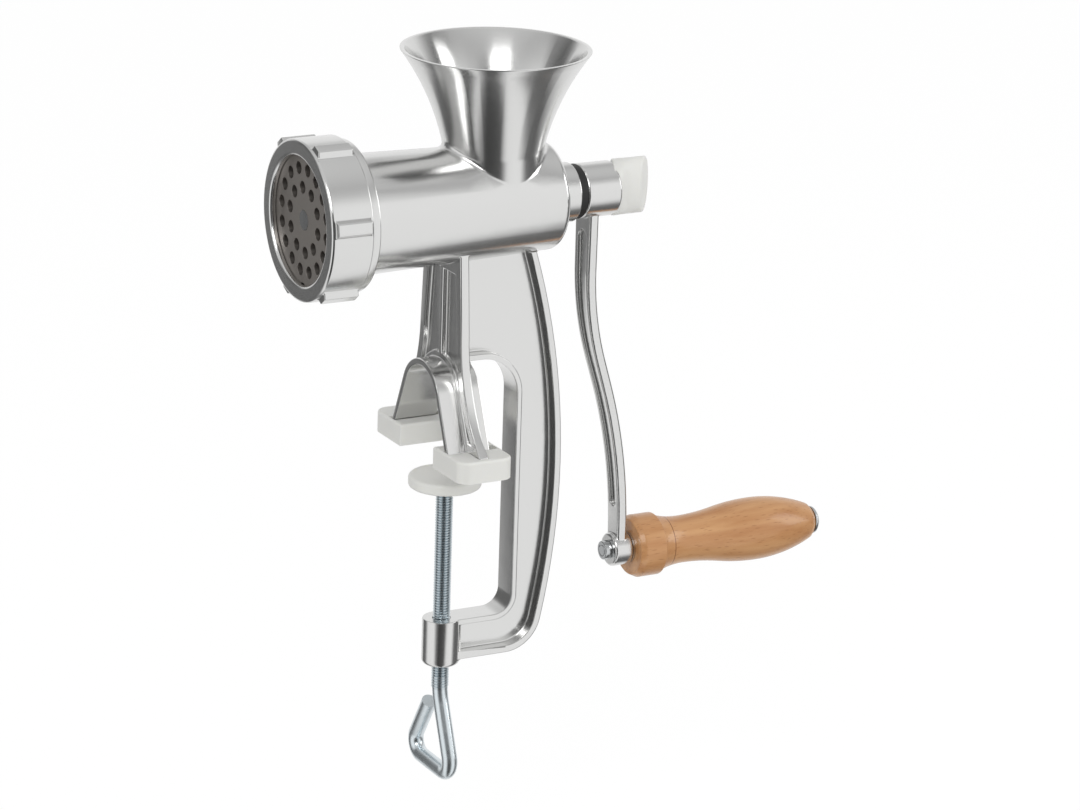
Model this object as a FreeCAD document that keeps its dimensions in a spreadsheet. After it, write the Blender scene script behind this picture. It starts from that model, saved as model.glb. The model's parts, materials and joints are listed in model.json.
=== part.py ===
import FreeCAD, Part
import math
import os
from types import SimpleNamespace

import Sketcher

Vector = FreeCAD.Vector

# Two places nearer than this, in millimetres, are the same
NEAR = 0.02

# Hand crank meat grinder. X runs along the barrel towards the crank, Z is up, and the origin lies
# level with the undersides of the foot pads, on the axis of the clamp screw.
# Driving dimensions, in millimetres and degrees. A length ahead of the clamp axis counts towards -X.
SIZES = dict(
    # barrel and mouth
    barrel_height=115.7,
    barrel_front_radius=27.0,
    barrel_rear_radius=24.6,
    barrel_rear=47.5,
    barrel_rounding=3.0,
    bore_radius=21.6,
    rear_wall=5.5,
    mouth_radius=33.0,
    collar_radius=34.0,
    collar_length=4.2,
    chamber_radius=28.7,
    chamber_back=56.0,
    neck_radius=13.5,
    neck_end=58.6,
    # hopper
    hopper_centre=19.9,
    hopper_wall=2.2,
    rim_height=184.8,
    rim_radius=42.8,
    throat_radius=22.0,
    throat_height=138.0,
    trumpet_radius=115.0,
    hopper_fillet=2.5,
    # web frame
    spine_reach=55.5,
    spine_height=-10.0,
    spine_radius=340.0,
    spine_corner=18.0,
    arm_bottom=-98.0,
    arm_top=-78.6,
    opening_back=32.0,
    opening_top=44.0,
    opening_high_corner=18.0,
    opening_low_corner=8.5,
    web_thickness=3.0,
    flange_width=14.0,
    outer_flange=3.3,
    inner_flange=2.7,
    boss_radius=8.8,
    boss_bottom=-100.8,
    boss_rounding=2.4,
    # column and legs
    column_front=4.2,
    column_thickness=4.5,
    column_sink=6.0,
    column_high_half=17.6,
    column_low_half=20.3,
    gusset_start=60.0,
    gusset_radius=70.0,
    edge_rib=4.5,
    centre_rib=3.2,
    arch_rib=2.5,
    recess_depth=2.0,
    recess_top=87.0,
    recess_foot=14.0,
    arch_top=45.5,
    arch_radius=19.0,
    leg_angle=23.3,
    strap_thickness=3.0,
    strap_front=13.5,
    strap_back=7.6,
    # foot pads
    pad_thickness=10.0,
    pad_front=14.7,
    pad_back=12.0,
    pad_inner=16.5,
    pad_outer=44.5,
    pad_corner=6.0,
    pad_rounding=1.2,
    foot_level=5.0,
    foot_slack=3.0,
    # locking ring
    ring_front=75.3,
    ring_radius=36.0,
    ring_length=19.8,
    ring_opening=28.7,
    lip_thickness=3.0,
    ring_chamfer=0.8,
    lug_count=6,
    lug_phase=22.5,
    lug_height=2.7,
    lug_base=8.4,
    lug_crest=5.2,
    lug_margin=1.6,
    # cutting plate and key
    plate_radius=31.0,
    plate_thickness=5.0,
    plate_hole=5.5,
    outer_holes=16,
    outer_hole_circle=23.0,
    outer_hole_phase=7.5,
    inner_holes=10,
    inner_hole_circle=14.5,
    inner_hole_phase=11.0,
    key_circle=30.0,
    key_radius=1.25,
    key_root=5.0,
    key_reach=2.5,
    # knife and auger
    knife_radius=27.4,
    knife_depth=8.0,
    knife_hub=9.5,
    blade_count=4,
    blade_width=9.0,
    blade_edge=2.2,
    blade_clear=1.0,
    stud_square=9.0,
    stud_pin=4.4,
    stud_root=5.0,
    stud_depth=16.0,
    flight_radius=21.0,
    flight_pitch=24.0,
    flight_root=5.0,
    flight_tip=2.6,
    flight_margin=1.0,
    flight_sink=2.0,
    core_front_radius=12.0,
    core_rear_radius=8.5,
    journal_radius=7.0,
    drive_square=9.6,
    drive_shortfall=1.2,
    bush_radius=10.0,
    bush_flange=13.0,
    bush_flange_thickness=2.0,
    # crank
    seal_length=3.8,
    hub_radius=12.4,
    hub_length=17.3,
    hub_rounding=1.2,
    crank_radius=173.6,
    arm_offset=68.6,
    arm_shift=21.3,
    arm_bend=17.0,
    arm_high_bend=150.0,
    arm_low_bend=252.0,
    arm_thickness=4.8,
    arm_high_width=14.6,
    arm_low_width=10.4,
    arm_rounding=1.2,
    channel_depth=1.4,
    channel_rim=3.0,
    channel_start=22.0,
    channel_end=150.0,
    grip_boss_radius=7.8,
    grip_boss_front=85.7,
    grip_boss_back=95.0,
    # thumb screw
    wing_end=98.0,
    wing_height=28.0,
    wing_root=12.0,
    wing_tip=7.0,
    wing_collar=13.2,
    wing_collar_length=5.5,
    wing_rounding=2.2,
    thumb_stud_radius=3.0,
    thumb_stud_reach=15.0,
    thumb_stud_share=0.6,
    tap_margin=2.0,
    thumb_washer_radius=10.0,
    thumb_washer_thickness=1.2,
    # grip
    grip_washer_radius=7.4,
    grip_washer_thickness=1.0,
    grip_start=96.1,
    grip_end=194.0,
    grip_collar_radius=14.6,
    grip_collar_chamfer=3.0,
    grip_collar_end=109.0,
    grip_collar_step=1.0,
    grip_neck_radius=11.0,
    grip_neck_place=123.0,
    grip_bulge_radius=14.7,
    grip_bulge_place=162.0,
    grip_end_radius=8.6,
    grip_end_rounding=2.5,
    bolt_radius=3.2,
    bolt_thread_radius=2.5,
    bolt_head_radius=6.5,
    bolt_head_height=4.0,
    nut_radius=4.4,
    nut_length=3.4,
    # clamp
    screw_radius=4.0,
    disc_radius=16.6,
    disc_top=-10.1,
    disc_thickness=5.5,
    disc_rounding=1.6,
    socket_radius=4.6,
    socket_roof=1.7,
    socket_floor=1.4,
    swivel_radius=4.2,
    swivel_neck=2.8,
    loop_start=-115.0,
    loop_bottom=-152.0,
    loop_near=15.0,
    loop_far=28.0,
    loop_tail=9.9,
    loop_tail_top=-123.0,
    loop_bend=6.5,
    # fits
    running_fit=0.05,
    face_gap=0.1,
    free_gap=0.3,
    # how far a form runs into or past the one it joins or cuts, and what an arc of half a turn gains
    overlap=1.0,
    arc_slack=0.01,
)


class Size:
    """A dimension as a number, together with the sheet expression that gives it."""

    def __init__(self, value, text):
        self.value = value
        self.text = text

    def __add__(self, other):
        other = as_size(other)
        return Size(self.value + other.value, f"({self.text} + {other.text})")

    def __sub__(self, other):
        other = as_size(other)
        return Size(self.value - other.value, f"({self.text} - {other.text})")

    def __mul__(self, other):
        other = as_size(other)
        return Size(self.value * other.value, f"({self.text} * {other.text})")

    def __truediv__(self, other):
        other = as_size(other)
        return Size(self.value / other.value, f"({self.text} / {other.text})")

    def __neg__(self):
        return Size(-self.value, f"(0 - {self.text})")

    __radd__ = __add__

    def __rmul__(self, other):
        return self * other

    def __rsub__(self, other):
        return as_size(other) - self


def as_size(number):
    if isinstance(number, Size):
        return number
    return Size(float(number), f"({float(number)})")


def root(size):
    return Size(math.sqrt(size.value), f"sqrt({size.text})")


def sine(size):
    return Size(math.sin(math.radians(size.value)), f"sin({size.text} * 1 deg)")


def cosine(size):
    return Size(math.cos(math.radians(size.value)), f"cos({size.text} * 1 deg)")


def across(radius, rise):
    """The leg of a right triangle with the radius as its long side."""
    return root(radius * radius - rise * rise)


doc = FreeCAD.newDocument("grinder")
sheet = doc.addObject("Spreadsheet::Sheet", "Sizes")
for row, (name, number) in enumerate(SIZES.items(), start=1):
    sheet.set(f"A{row}", name)
    sheet.set(f"B{row}", str(number))
    sheet.setAlias(f"B{row}", name)
doc.recompute()

d = SimpleNamespace(**{name: Size(number, f"Sizes.{name}") for name, number in SIZES.items()})
sub_parts = []


def bind(thing, field, size):
    size = as_size(size)
    thing.setExpression(field, size.text)


def body(label, height=None):
    """A new sub-part, lifted to a height if one is given."""
    new = doc.addObject("PartDesign::Body", label)
    new.Label = label
    if height is not None:
        bind(new, "Placement.Base.z", height)
    sub_parts.append(new)
    return new


def plane(of_body, role):
    return next(item for item in of_body.Origin.OriginFeatures if item.Role == role)


def sketch(of_body, role, x=0, y=0, z=0):
    """A sketch on one of the body's own planes, moved within the plane by x, y and off it by z."""
    new = of_body.newObject("Sketcher::SketchObject", f"{of_body.Label}_sketch")
    new.AttachmentSupport = [(plane(of_body, role), "")]
    new.MapMode = "FlatFace"
    for axis, shift in zip("xyz", (x, y, z)):
        if isinstance(shift, Size):
            bind(new, f"AttachmentOffset.Base.{axis}", shift)
    return new


def pin_down(drawing, element, end, x, y):
    """Fix one end of a sketch element at x, y."""
    for kind, axis, size in (("DistanceX", -2, as_size(x)), ("DistanceY", -1, as_size(y))):
        if size.value == 0:
            drawing.addConstraint(Sketcher.Constraint("PointOnObject", element, end, axis))
            continue
        number = drawing.addConstraint(Sketcher.Constraint(kind, -1, 1, element, end, size.value))
        bind(drawing, f"Constraints[{number}]", size)


def arc_between(start, end, radius):
    """The short arc from start to end, turning left for a positive radius and right for a negative one."""
    chord = end - start
    middle = start + chord * 0.5
    left = Vector(-chord.y, chord.x, 0).normalize()
    depth = math.sqrt(max(radius * radius - chord.Length ** 2 / 4, 0))
    centre = middle + left * math.copysign(depth, radius)
    first, last = (start, end) if radius > 0 else (end, start)
    angles = [math.atan2(p.y - centre.y, p.x - centre.x) for p in (first, last)]
    circle = Part.Circle(centre, Vector(0, 0, 1), abs(radius))
    return Part.ArcOfCircle(circle, *angles)


def outline(drawing, *steps):
    """Draw a closed outline. A step is x, y for a straight edge to that corner, or x, y, radius for an
    arc to it, which turns left for a positive radius and right for a negative one."""
    corners = [Vector(as_size(step[0]).value, as_size(step[1]).value, 0) for step in steps]
    first = drawing.GeometryCount
    ends = []
    for index, step in enumerate(steps):
        start, end = corners[index - 1], corners[index]
        if len(step) == 2:
            drawing.addGeometry(Part.LineSegment(start, end), False)
            ends.append((1, 2))
        else:
            radius = as_size(step[2])
            number = drawing.addGeometry(arc_between(start, end, radius.value), False)
            ends.append((1, 2) if radius.value > 0 else (2, 1))
            size = radius if radius.value > 0 else -radius
            rule = drawing.addConstraint(Sketcher.Constraint("Radius", number, size.value))
            bind(drawing, f"Constraints[{rule}]", size)
    for index, step in enumerate(steps):
        following = (index + 1) % len(steps)
        here, there = first + index, first + following
        joint = Sketcher.Constraint("Coincident", here, ends[index][1], there, ends[following][0])
        drawing.addConstraint(joint)
        pin_down(drawing, here, ends[index][1], step[0], step[1])
    return drawing


def ring_outline(drawing, radius, x=0, y=0):
    """Draw a circle of the given radius about x, y."""
    centre = Vector(as_size(x).value, as_size(y).value, 0)
    number = drawing.addGeometry(Part.Circle(centre, Vector(0, 0, 1), as_size(radius).value), False)
    rule = drawing.addConstraint(Sketcher.Constraint("Radius", number, as_size(radius).value))
    bind(drawing, f"Constraints[{rule}]", radius)
    pin_down(drawing, number, 3, x, y)
    return drawing


def box_outline(drawing, left, right, low, high):
    return outline(drawing, (left, low), (right, low), (right, high), (left, high))


def feature(kind, drawing, **fields):
    """Make a feature of the sketch's body, and check that it adds or cuts something."""
    of_body = drawing.getParentGeoFeatureGroup()
    before = of_body.Shape.Volume if of_body.Tip else 0
    new = of_body.newObject(f"PartDesign::{kind}", f"{of_body.Label}_{kind.lower()}")
    new.Profile = drawing
    for field, value in fields.items():
        if isinstance(value, Size):
            bind(new, field, value)
        else:
            setattr(new, field, value)
    drawing.Visibility = False
    doc.recompute()
    if abs(of_body.Shape.Volume - before) < 1e-3:
        raise ValueError(f"{new.Name} changes nothing")
    return new


def pad(drawing, length, both=True, back=False):
    side = "Symmetric" if both else "One side"
    return feature("Pad", drawing, Length=as_size(length), SideType=side, Reversed=back)


def pocket(drawing, depth, both=False, back=False):
    side = "Symmetric" if both else "One side"
    return feature("Pocket", drawing, Length=as_size(depth), SideType=side, Reversed=back)


def revolve(drawing, axis="H_Axis"):
    return feature("Revolution", drawing, ReferenceAxis=(drawing, [axis]), Angle=360.0)


def groove(drawing, axis="H_Axis"):
    return feature("Groove", drawing, ReferenceAxis=(drawing, [axis]), Angle=360.0)


def round_about_x(of_body, original, count):
    """Repeat a feature evenly about the body's X axis."""
    pattern = of_body.newObject("PartDesign::PolarPattern", f"{of_body.Label}_pattern")
    pattern.Originals = [original]
    pattern.Axis = (plane(of_body, "X_Axis"), [""])
    pattern.Angle = 360.0
    bind(pattern, "Occurrences", count)
    of_body.Tip = pattern
    doc.recompute()
    return pattern


def soften(of_body, kind, size, wanted):
    """Round or chamfer the edges of the body that the test picks."""
    base = of_body.Tip
    names = [f"Edge{n}" for n, edge in enumerate(base.Shape.Edges, start=1) if wanted(edge)]
    new = of_body.newObject(f"PartDesign::{kind}", f"{of_body.Label}_{kind.lower()}")
    new.Base = (base, names)
    bind(new, "Radius" if kind == "Fillet" else "Size", size)
    doc.recompute()
    if not new.isValid():
        raise ValueError(f"{new.Name} rounds nothing")
    return new


def middle(edge):
    return edge.valueAt((edge.FirstParameter + edge.LastParameter) / 2)


def at_height(edge, size):
    """Whether an edge lies level at the height of a named size."""
    return abs(middle(edge).z - SIZES[size]) < NEAR and edge.BoundBox.ZLength < NEAR


# Places along the barrel that several pieces share
plate_front = d.lip_thickness - d.ring_front + d.face_gap
plate_back = plate_front + d.plate_thickness
mouth_front = plate_front + d.plate_thickness / 2
ring_back = d.ring_length - d.ring_front
collar_front = ring_back + d.free_gap
collar_back = collar_front + d.collar_length
bore_back = d.barrel_rear - d.rear_wall
knife_front = plate_back + d.face_gap
auger_front = knife_front + d.knife_depth
auger_back = bore_back - d.bush_flange_thickness - d.face_gap
hub_front = d.neck_end + d.seal_length
hub_back = hub_front + d.hub_length
drive_back = hub_back - d.drive_shortfall
grip_height = d.barrel_height - d.crank_radius


# Housing: barrel, neck, hopper, web frame, column, arch legs and clamp boss in one casting
def spine_x(height):
    centre = d.spine_reach - d.spine_radius
    return centre + across(d.spine_radius, height - d.spine_height)


def arch_points(grow):
    """The arch's radius, and where its arc meets the straight leg, moved outwards by grow."""
    radius = d.arch_radius + grow
    centre = d.arch_top - d.arch_radius
    meet = (radius * cosine(d.leg_angle), centre + radius * sine(d.leg_angle))
    return radius, meet


def leg_half(grow, height):
    """Half the width of the legs' outer profile at a height, moved outwards by grow."""
    meet = arch_points(grow)[1]
    return meet[0] + (meet[1] - height) * sine(d.leg_angle) / cosine(d.leg_angle)


def gusset_half(grow, height):
    """Half the width of the column's flared edge at a height, moved inwards by grow."""
    centre = d.column_low_half + d.gusset_radius
    return centre - across(d.gusset_radius + grow, d.gusset_start - height)


def make_barrel(housing):
    profile = sketch(housing, "XZ_Plane", y=d.barrel_height)
    corner = d.barrel_rear_radius - d.barrel_rounding
    outline(
        profile,
        (mouth_front, 0),
        (mouth_front, d.mouth_radius),
        (collar_front, d.mouth_radius),
        (collar_front, d.collar_radius),
        (collar_back, d.collar_radius),
        (collar_back, d.barrel_front_radius),
        (d.barrel_rear - d.barrel_rounding, d.barrel_rear_radius),
        (d.barrel_rear, corner, -d.barrel_rounding),
        (d.barrel_rear, d.neck_radius),
        (d.neck_end, d.neck_radius),
        (d.neck_end, 0),
    )
    revolve(profile)


def hopper_outline(drawing, wall, bottom):
    """Half the hopper's section, inside by the wall."""
    outline(
        drawing,
        (0, bottom),
        (d.throat_radius - wall, bottom),
        (d.throat_radius - wall, d.throat_height),
        (d.rim_radius - wall, d.rim_height, -d.trumpet_radius),
        (0, d.rim_height),
    )


def make_web(housing):
    top = d.barrel_height - d.bore_radius - d.overlap
    centre_x = d.spine_reach - d.spine_radius
    corner_z = d.arm_bottom + d.spine_corner
    reach = d.spine_radius - d.spine_corner
    corner_x = centre_x + across(reach, corner_z - d.spine_height)
    swing_x = (corner_x - centre_x) / reach
    swing_z = (corner_z - d.spine_height) / reach

    def meet(inset):
        radius = d.spine_radius - inset
        return centre_x + radius * swing_x, d.spine_height + radius * swing_z

    inner_top = centre_x + across(d.spine_radius - d.outer_flange, top - d.spine_height)
    high, low = d.opening_high_corner, d.opening_low_corner
    back, roof, floor = d.opening_back, d.opening_top, d.arm_top
    opening = (
        (0, floor),
        (back - low, floor),
        (back, floor + low, low),
        (back, roof - high),
        (back - high, roof, high),
        (0, roof),
    )
    spine = (
        (spine_x(top), top),
        (*meet(0), -d.spine_radius),
        (corner_x, d.arm_bottom, -d.spine_corner),
        (0, d.arm_bottom),
    )
    web = sketch(housing, "XZ_Plane")
    outline(web, (0, top), *spine, *opening)
    pad(web, d.web_thickness)

    rear = sketch(housing, "XZ_Plane")
    rise = d.outer_flange
    outline(
        rear,
        *spine,
        (0, d.arm_bottom + rise),
        (corner_x, d.arm_bottom + rise),
        (*meet(rise), d.spine_corner - rise),
        (inner_top, top, d.spine_radius - rise),
    )
    pad(rear, d.flange_width)

    front = sketch(housing, "XZ_Plane")
    rise = d.inner_flange
    outline(
        front,
        *opening,
        (0, roof + rise),
        (back - high, roof + rise),
        (back + rise, roof - high, -(high + rise)),
        (back + rise, floor + low),
        (back - low, floor - rise, -(low + rise)),
        (0, floor - rise),
    )
    pad(front, d.flange_width)


def make_legs(housing):
    outer_radius, outer = arch_points(0)
    inner_radius, inner = arch_points(-d.strap_thickness)
    foot = d.foot_level
    outer_foot = leg_half(0, foot)
    inner_foot = leg_half(-d.strap_thickness, foot)
    strap = sketch(housing, "YZ_Plane", z=-d.strap_front)
    outline(
        strap,
        (outer_foot, foot),
        outer,
        (-outer[0], outer[1], outer_radius),
        (-outer_foot, foot),
        (-inner_foot, foot),
        (-inner[0], inner[1]),
        (*inner, -inner_radius),
        (inner_foot, foot),
    )
    pad(strap, d.strap_front + d.strap_back, both=False)

    top = d.barrel_height - d.bore_radius + d.column_sink
    wide = gusset_half(0, d.pad_thickness)
    plate = sketch(housing, "YZ_Plane", z=-d.column_front)
    outline(
        plate,
        (wide, foot),
        (wide, d.pad_thickness),
        (d.column_low_half, d.gusset_start, -d.gusset_radius),
        (d.column_high_half, top),
        (-d.column_high_half, top),
        (-d.column_low_half, d.gusset_start),
        (-wide, d.pad_thickness, -d.gusset_radius),
        (-wide, foot),
        (-outer_foot, foot),
        (-outer[0], outer[1]),
        (*outer, -outer_radius),
        (outer_foot, foot),
    )
    pad(plate, d.column_thickness, both=False)


def make_recesses(housing):
    """Two pockets in the column's front, which leave a rib on each edge and one in the middle."""
    rib, edge, lift = d.centre_rib / 2, d.edge_rib, d.arch_rib
    radius, meet = arch_points(lift)
    low = d.recess_foot
    crest = d.arch_top - d.arch_radius + across(radius, rib)
    for side in (1, -1):
        recess = sketch(housing, "YZ_Plane", z=-d.column_front)
        outline(
            recess,
            (rib * side, d.recess_top),
            ((d.column_high_half - edge) * side, d.recess_top),
            ((d.column_low_half - edge) * side, d.gusset_start),
            (gusset_half(edge, low) * side, low, (d.gusset_radius + edge) * side),
            (leg_half(lift, low) * side, low),
            (meet[0] * side, meet[1]),
            (rib * side, crest, radius * side),
        )
        pocket(recess, d.recess_depth, back=True)


def make_housing():
    housing = body("housing")
    make_barrel(housing)
    hopper = sketch(housing, "XZ_Plane", x=d.hopper_centre)
    hopper_outline(hopper, 0, d.barrel_height + d.bore_radius / 2)
    revolve(hopper, "V_Axis")
    soften(housing, "Fillet", d.hopper_fillet, lambda edge: "BSpline" in edge.Curve.TypeId)
    make_web(housing)
    make_legs(housing)
    boss = sketch(housing, "XY_Plane", z=d.boss_bottom)
    ring_outline(boss, d.boss_radius)
    pad(boss, d.arm_top - d.boss_bottom, both=False)
    soften(housing, "Fillet", d.boss_rounding, lambda edge: at_height(edge, "boss_bottom"))
    make_recesses(housing)

    bore = sketch(housing, "XZ_Plane", y=d.barrel_height)
    outline(
        bore,
        (mouth_front, 0),
        (mouth_front, d.plate_radius + d.free_gap),
        (plate_back, d.plate_radius + d.free_gap),
        (plate_back, d.chamber_radius),
        (-d.chamber_back, d.chamber_radius),
        (-d.chamber_back, d.bore_radius),
        (bore_back, d.bore_radius),
        (bore_back, d.bush_radius),
        (d.neck_end, d.bush_radius),
        (d.neck_end, 0),
    )
    groove(bore)
    feed = sketch(housing, "XZ_Plane", x=d.hopper_centre)
    hopper_outline(feed, d.hopper_wall, d.barrel_height)
    groove(feed, "V_Axis")
    thread = sketch(housing, "XY_Plane", z=d.boss_bottom)
    ring_outline(thread, d.screw_radius + d.running_fit)
    pocket(thread, d.arm_top - d.boss_bottom, back=True)
    key = sketch(housing, "YZ_Plane", z=plate_back)
    ring_outline(key, d.key_radius, 0, d.barrel_height - d.key_circle)
    pocket(key, d.key_root, back=True)


def make_foot_pad(label, side):
    """A moulded pad whose pocket takes the strap and the gusset of one leg."""
    foot_pad = body(label)
    corner = d.pad_corner
    front, back = -d.pad_front, d.pad_back
    inner, outer = d.pad_inner * side, d.pad_outer * side
    turn = corner * side
    block = sketch(foot_pad, "XY_Plane")
    outline(
        block,
        (front, inner),
        (back, inner),
        (back, outer - turn),
        (back - corner, outer, turn),
        (front + corner, outer),
        (front, outer - turn, turn),
    )
    pad(block, d.pad_thickness, both=False)
    soften(foot_pad, "Fillet", d.pad_rounding, lambda edge: at_height(edge, "pad_thickness"))

    slack = d.free_gap
    inner_top = leg_half(-d.strap_thickness, d.pad_thickness) - slack
    outer_wall = leg_half(0, d.foot_level) + slack
    slot = sketch(foot_pad, "XY_Plane", z=d.pad_thickness)
    wide = gusset_half(0, d.pad_thickness) + slack
    plate_near, plate_far = -d.column_front - slack, d.column_thickness - d.column_front + slack
    outline(
        slot,
        (-d.strap_front - slack, inner_top * side),
        (d.strap_back + d.foot_slack, inner_top * side),
        (d.strap_back + d.foot_slack, outer_wall * side),
        (plate_far, outer_wall * side),
        (plate_far, wide * side),
        (plate_near, wide * side),
        (plate_near, outer_wall * side),
        (-d.strap_front - slack, outer_wall * side),
    )
    pocket(slot, d.pad_thickness - d.foot_level)


# Mouth: cutting plate, its key and the locking ring
def make_cutting_plate():
    cutting_plate = body("cutting_plate", d.barrel_height)
    disc = sketch(cutting_plate, "YZ_Plane", z=plate_front)
    ring_outline(disc, d.plate_radius)
    ring_outline(disc, d.stud_pin + d.running_fit)
    pad(disc, d.plate_thickness, both=False)
    rows = (
        (d.outer_hole_circle, d.outer_hole_phase, d.outer_holes),
        (d.inner_hole_circle, d.inner_hole_phase, d.inner_holes),
    )
    for circle, phase, count in rows:
        hole = sketch(cutting_plate, "YZ_Plane", z=plate_front)
        ring_outline(hole, d.plate_hole / 2, circle * cosine(phase), circle * sine(phase))
        round_about_x(cutting_plate, pocket(hole, d.plate_thickness, back=True), count)
    notch = sketch(cutting_plate, "YZ_Plane", z=plate_front)
    half = d.key_radius + d.free_gap
    floor = d.key_circle - d.key_radius - d.free_gap
    box_outline(notch, -half, half, -d.plate_radius - d.overlap, -floor)
    pocket(notch, d.plate_thickness, back=True)


def make_plate_key():
    plate_key = body("plate_key", d.barrel_height)
    pin = sketch(plate_key, "YZ_Plane", z=plate_back + d.key_root)
    ring_outline(pin, d.key_radius, 0, -d.key_circle)
    pad(pin, d.key_root + d.key_reach, both=False, back=True)


def make_locking_ring():
    locking_ring = body("locking_ring", d.barrel_height)
    locking_ring.Placement.Rotation = FreeCAD.Rotation(Vector(1, 0, 0), SIZES["lug_phase"])
    front = -d.ring_front
    edge = d.ring_chamfer
    profile = sketch(locking_ring, "XZ_Plane")
    thread = d.mouth_radius + d.free_gap
    outline(
        profile,
        (front, d.ring_opening + edge),
        (front, d.ring_radius - edge),
        (front + edge, d.ring_radius),
        (ring_back, d.ring_radius),
        (ring_back, thread),
        (front + d.lip_thickness, thread),
        (front + d.lip_thickness, d.ring_opening),
        (front + edge, d.ring_opening),
    )
    revolve(profile)
    lug = sketch(locking_ring, "YZ_Plane", z=front + d.lug_margin)
    low, high = d.ring_radius - d.overlap, d.ring_radius + d.lug_height
    base, crest = d.lug_base / 2, d.lug_crest / 2
    outline(lug, (-base, low), (base, low), (crest, high), (-crest, high))
    round_about_x(locking_ring, pad(lug, d.ring_length - d.lug_margin * 2, both=False), d.lug_count)


# Inside the barrel: knife, stud, auger and rear bush
def make_knife():
    knife = body("knife", d.barrel_height)
    hub = sketch(knife, "YZ_Plane", z=knife_front)
    ring_outline(hub, d.knife_hub)
    pad(hub, d.knife_depth, both=False)
    blade = sketch(knife, "XY_Plane", z=d.knife_hub / 2)
    half = d.blade_width / 2
    outline(
        blade,
        (knife_front, -half),
        (auger_front - d.blade_clear, -half),
        (knife_front + d.blade_edge, half),
        (knife_front, half),
    )
    round_about_x(knife, pad(blade, d.knife_radius - d.knife_hub / 2, both=False), d.blade_count)
    square = sketch(knife, "YZ_Plane", z=knife_front)
    half = d.stud_square / 2
    box_outline(square, -half, half, -half, half)
    pocket(square, d.knife_depth, back=True)


def make_knife_stud():
    knife_stud = body("knife_stud", d.barrel_height)
    root_rod = sketch(knife_stud, "YZ_Plane", z=auger_front)
    ring_outline(root_rod, d.stud_root)
    pad(root_rod, d.stud_depth, both=False)
    square = sketch(knife_stud, "YZ_Plane", z=knife_front)
    half = d.stud_square / 2
    box_outline(square, -half, half, -half, half)
    pad(square, d.knife_depth, both=False)
    pin = sketch(knife_stud, "YZ_Plane", z=plate_front)
    ring_outline(pin, d.stud_pin)
    pad(pin, knife_front - plate_front, both=False)


def make_auger():
    auger = body("auger", d.barrel_height)
    core = sketch(auger, "XZ_Plane")
    outline(
        core,
        (auger_front, 0),
        (auger_front, d.core_front_radius),
        (auger_back, d.core_rear_radius),
        (auger_back, d.journal_radius),
        (hub_front, d.journal_radius),
        (hub_front, 0),
    )
    revolve(core)
    drive = sketch(auger, "YZ_Plane", z=hub_front)
    half = d.drive_square / 2
    box_outline(drive, -half, half, -half, half)
    pad(drive, drive_back - hub_front, both=False)
    flight = sketch(auger, "XZ_Plane")
    thick, thin = d.flight_root / 2, d.flight_tip / 2
    start = auger_front + thick + d.flight_margin
    sunk = d.core_rear_radius - d.flight_sink
    outline(
        flight,
        (start - thick, sunk),
        (start + thick, sunk),
        (start + thin, d.flight_radius),
        (start - thin, d.flight_radius),
    )
    feature(
        "AdditiveHelix",
        flight,
        ReferenceAxis=(plane(auger, "X_Axis"), [""]),
        Mode="pitch-height-angle",
        Pitch=d.flight_pitch,
        Height=auger_back - auger_front - d.flight_root - d.flight_margin * 2,
    )
    socket = sketch(auger, "YZ_Plane", z=auger_front)
    ring_outline(socket, d.stud_root)
    pocket(socket, d.stud_depth, back=True)
    tapped = sketch(auger, "YZ_Plane", z=drive_back)
    ring_outline(tapped, d.thumb_stud_radius + d.running_fit)
    pocket(tapped, d.thumb_stud_reach + d.tap_margin)


def make_rear_bush():
    rear_bush = body("rear_bush", d.barrel_height)
    profile = sketch(rear_bush, "XZ_Plane")
    hole = d.journal_radius + d.running_fit
    flange = bore_back - d.bush_flange_thickness
    outline(
        profile,
        (flange, hole),
        (flange, d.bush_flange),
        (bore_back, d.bush_flange),
        (bore_back, d.bush_radius),
        (d.neck_end, d.bush_radius),
        (d.neck_end, hole),
    )
    revolve(profile)


def make_shaft_seal():
    shaft_seal = body("shaft_seal", d.barrel_height)
    washer = sketch(shaft_seal, "YZ_Plane", z=d.neck_end)
    ring_outline(washer, d.hub_radius)
    ring_outline(washer, d.journal_radius + d.running_fit)
    pad(washer, d.seal_length - d.face_gap, both=False)


# Crank: arm with hub and grip boss, thumb screw, grip and its bolt
def loose_sketch(name, role):
    """A sketch of its own, upright in the X-Z or the Y-Z plane at the barrel's axis."""
    new = doc.addObject("Sketcher::SketchObject", name)
    tilt = FreeCAD.Rotation(Vector(1, 0, 0), 90)
    if role == "YZ":
        tilt = FreeCAD.Rotation(Vector(0, 0, 1), 90) * tilt
    new.Placement = FreeCAD.Placement(Vector(0, 0, 0), tilt)
    return new


def extrusion(drawing, length):
    new = doc.addObject("Part::Extrusion", f"{drawing.Label}_solid")
    new.Base = drawing
    new.DirMode = "Normal"
    new.Symmetric = True
    new.Solid = True
    bind(new, "LengthFwd", length)
    return new


def meeting(kind, name, *members):
    new = doc.addObject(f"Part::{kind}", name)
    if kind.startswith("Multi"):
        new.Shapes = list(members)
    else:
        new.Base, new.Tool = members
    doc.recompute()
    return new


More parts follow.
